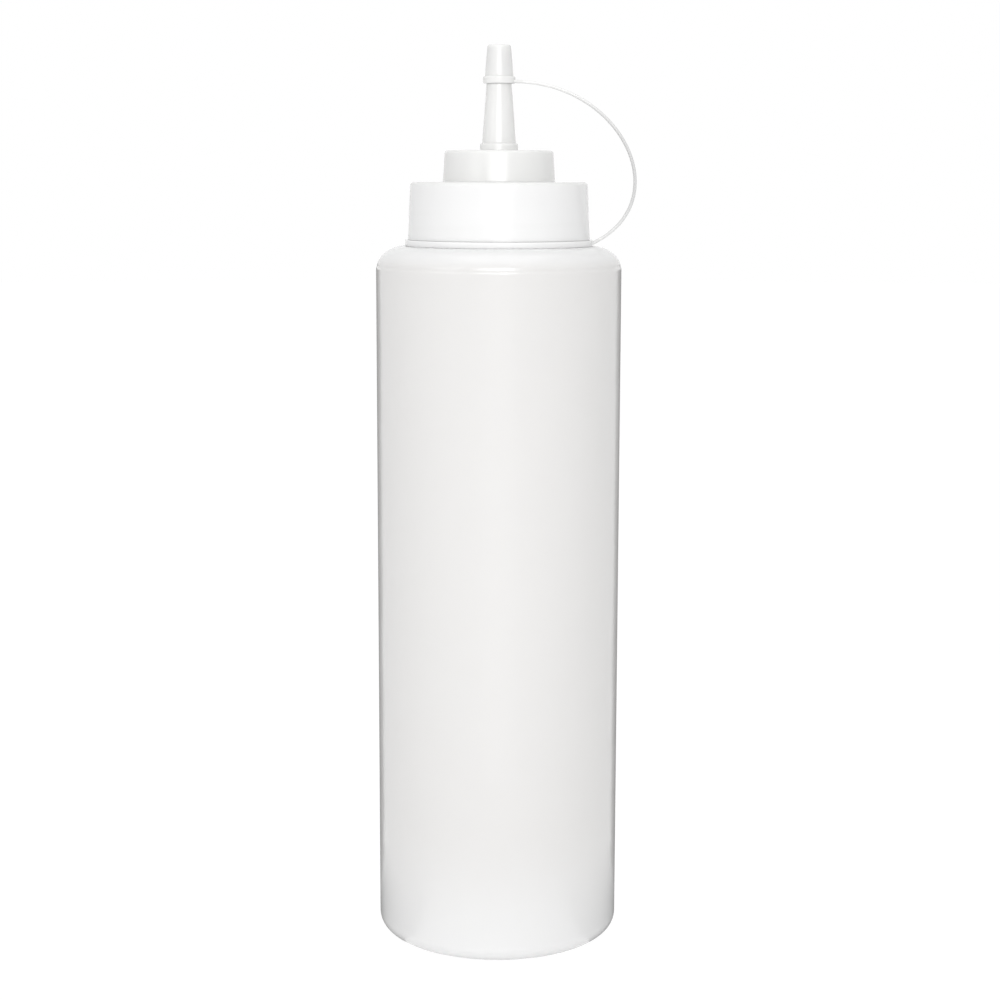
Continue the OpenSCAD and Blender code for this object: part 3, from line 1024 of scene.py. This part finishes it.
def soft_lamp(scene, name, watts, across, tall, azimuth, height, reach):
    """A rectangular lamp that faces the bottle. reach is its distance from the bottle's axis."""
    light = bpy.data.lights.new(name, "AREA")
    light.shape = "RECTANGLE"
    light.size, light.size_y, light.energy = across, tall, watts
    lamp = bpy.data.objects.new(name, light)
    scene.collection.objects.link(lamp)
    lamp.visible_camera = False
    turn = math.radians(azimuth)
    lamp.location = (reach * math.sin(turn), -reach * math.cos(turn), height)
    lamp.rotation_euler = (LAMP_TARGET - lamp.location).to_track_quat("-Z", "Y").to_euler()


def black_card(scene, name, hand, paint):
    """A card on one side that shows in the plastic's reflections alone. It stands up behind the bottle
    and lies on the floor beside it, and gives a white object its edges, as in a product studio.
    """
    s = scene.sauce_studio
    # It runs from near the bottle's back round to its front, and its first steps stand upright
    first, last, steps, upright = math.radians(14), math.radians(126), 12, 4
    turns = [first + (last - first) * i / steps for i in range(steps + 1)]
    low = 0.5 * MM
    section = [
        (s.card_foot, low),
        (s.card_near, low),
        (s.card_reach, low),
        (s.card_reach, s.card_height),
    ]
    mesh = bpy.data.meshes.new(name)
    mesh.from_pydata(
        [(hand * r * math.sin(a), r * math.cos(a), z) for a in turns for r, z in section],
        [],
        [
            (4 * i + j, 4 * i + j + 1, 4 * i + j + 5, 4 * i + j + 4)
            for i in range(steps)
            for j in range(3)
            if j == 0 or i < upright
        ],
    )
    white = [0 if i <= upright or j == 0 else 1 for i in range(steps + 1) for j in range(4)]
    mesh.attributes.new("fade", "FLOAT", "POINT").data.foreach_set("value", white)
    card = bpy.data.objects.new(name, mesh)
    scene.collection.objects.link(card)
    mesh.materials.append(paint)
    card.visible_camera = card.visible_diffuse = False
    card.visible_transmission = card.visible_shadow = False


def seen(tree):
    """1 for a ray that shows things, straight, mirrored or let through, and 0 for one that lights."""
    rays = add_node(tree, "ShaderNodeLightPath").outputs
    straight, mirrored = rays["Is Camera Ray"], rays["Is Glossy Ray"]
    let_through = rays["Is Transmission Ray"]
    first = add_node(tree, "ShaderNodeMath", {0: straight, 1: mirrored}, operation="MAXIMUM")
    return add_node(tree, "ShaderNodeMath", {0: first, 1: let_through}, operation="MAXIMUM")


def white_room(scene):
    """The room: pure white where it is seen, and a dimmer, even light on the bottle."""
    world = bpy.data.worlds.new("White studio")
    world.use_nodes = True
    scene.world = world
    tree = world.node_tree
    tree.nodes.clear()
    ambient = scene.sauce_studio.ambient
    strength = add_node(tree, "ShaderNodeMapRange", {"Value": seen(tree), "To Min": ambient})
    light = add_node(tree, "ShaderNodeBackground", {"Color": (1, 1, 1, 1), "Strength": strength})
    add_node(tree, "ShaderNodeOutputWorld", {"Surface": light})


def floor_paper():
    """Matt white paper. It gives the eye a floor as white as the room, with a trace of the bottle's
    shadow, because most of what is seen of it is a glow that lights nothing.
    """
    glow_strength, glow_share = 1.09, 0.85
    paper = bpy.data.materials.new("White paper")
    paper.use_nodes = True
    tree = paper.node_tree
    tree.nodes.clear()
    lit = add_node(tree, "ShaderNodeBsdfDiffuse", {"Color": bpy.context.scene.sauce_finish.floor})
    glow = add_node(tree, "ShaderNodeEmission", {"Color": (1, 1, 1, 1), "Strength": glow_strength})
    share = add_node(tree, "ShaderNodeMath", {0: seen(tree), 1: glow_share}, operation="MULTIPLY")
    mixed = add_node(tree, "ShaderNodeMixShader", {0: share, 1: lit, 2: glow})
    add_node(tree, "ShaderNodeOutputMaterial", {"Surface": mixed})
    paper.cycles.emission_sampling = "NONE"
    return paper


def paper_floor(scene):
    """A round floor that reaches far past the picture."""
    mesh = bpy.data.meshes.new("Paper floor")
    work = bmesh.new()
    bmesh.ops.create_circle(work, cap_ends=True, radius=FLOOR_RADIUS, segments=96)
    work.to_mesh(mesh)
    work.free()
    floor = bpy.data.objects.new("Paper floor", mesh)
    scene.collection.objects.link(floor)
    mesh.materials.append(floor_paper())


class SAUCE_OT_studio(bpy.types.Operator):
    """Sets up the camera, the soft lamps, the black cards, the white room and the paper floor"""

    bl_idname = "sauce.studio"
    bl_label = "Studio"

    def execute(self, context):
        scene, s = context.scene, context.scene.sauce_studio
        scene.view_settings.view_transform = "Standard"
        photo_camera(scene)
        # Width and height of the lamp in metres, its azimuth in degrees, its height and reach in metres
        soft_lamp(scene, "Front lamp", s.key, 0.14, 0.5, 5, 0.58, 1.3)
        soft_lamp(scene, "Left lamp", s.side, 0.6, 0.3, -50, 0.6, 1.3)
        soft_lamp(scene, "Front fill", s.fill, 1.0, 0.35, -2, 0.66, 1.5)
        soft_lamp(scene, "Strip lamp", s.strip, 0.1, 0.22, 0, 0.1, 0.2)
        soft_lamp(scene, "Overhead softbox", s.top, 1.2, 1.2, 0, 1.6, 0.1)
        paint = card_paint()
        black_card(scene, "Left black card", -1, paint)
        black_card(scene, "Right black card", 1, paint)
        white_room(scene)
        paper_floor(scene)
        return {"FINISHED"}


PIECES = (
    SAUCE_OT_bottle,
    SAUCE_OT_cap,
    SAUCE_OT_washer,
    SAUCE_OT_ring,
    SAUCE_OT_strap,
    SAUCE_OT_tip_cap,
    SAUCE_OT_studio,
)

GROUPS = {
    "sauce_bottle": BottleSizes,
    "sauce_thread": ThreadSizes,
    "sauce_cap": CapSizes,
    "sauce_leash": LeashSizes,
    "sauce_finish": Finish,
    "sauce_studio": StudioSizes,
}


class SAUCE_PT_bottle(bpy.types.Panel):
    """Lists the pieces and their sizes"""

    bl_idname = "SAUCE_PT_bottle"
    bl_label = "Sauce bottle"
    bl_space_type = "VIEW_3D"
    bl_region_type = "UI"
    bl_category = "Bottle"

    def draw(self, context):
        for operator in PIECES:
            self.layout.operator(operator.bl_idname)
        for name, group in GROUPS.items():
            box = self.layout.box()
            box.label(text=group.__doc__)
            for size in group.__annotations__:
                box.prop(getattr(context.scene, name), size)


def register():
    for kind in (*GROUPS.values(), *PIECES, SAUCE_PT_bottle):
        bpy.utils.register_class(kind)
    for name, group in GROUPS.items():
        setattr(bpy.types.Scene, name, PointerProperty(type=group))


def unregister():
    for name in GROUPS:
        delattr(bpy.types.Scene, name)
    for kind in (SAUCE_PT_bottle, *PIECES, *GROUPS.values()):
        bpy.utils.unregister_class(kind)


def main():
    register()
    bpy.ops.sauce.bottle()
    bpy.ops.sauce.cap()
    bpy.ops.sauce.washer()
    bpy.ops.sauce.ring()
    bpy.ops.sauce.strap()
    bpy.ops.sauce.tip_cap()
    bpy.ops.sauce.studio()


if __name__ == "__main__":
    main()
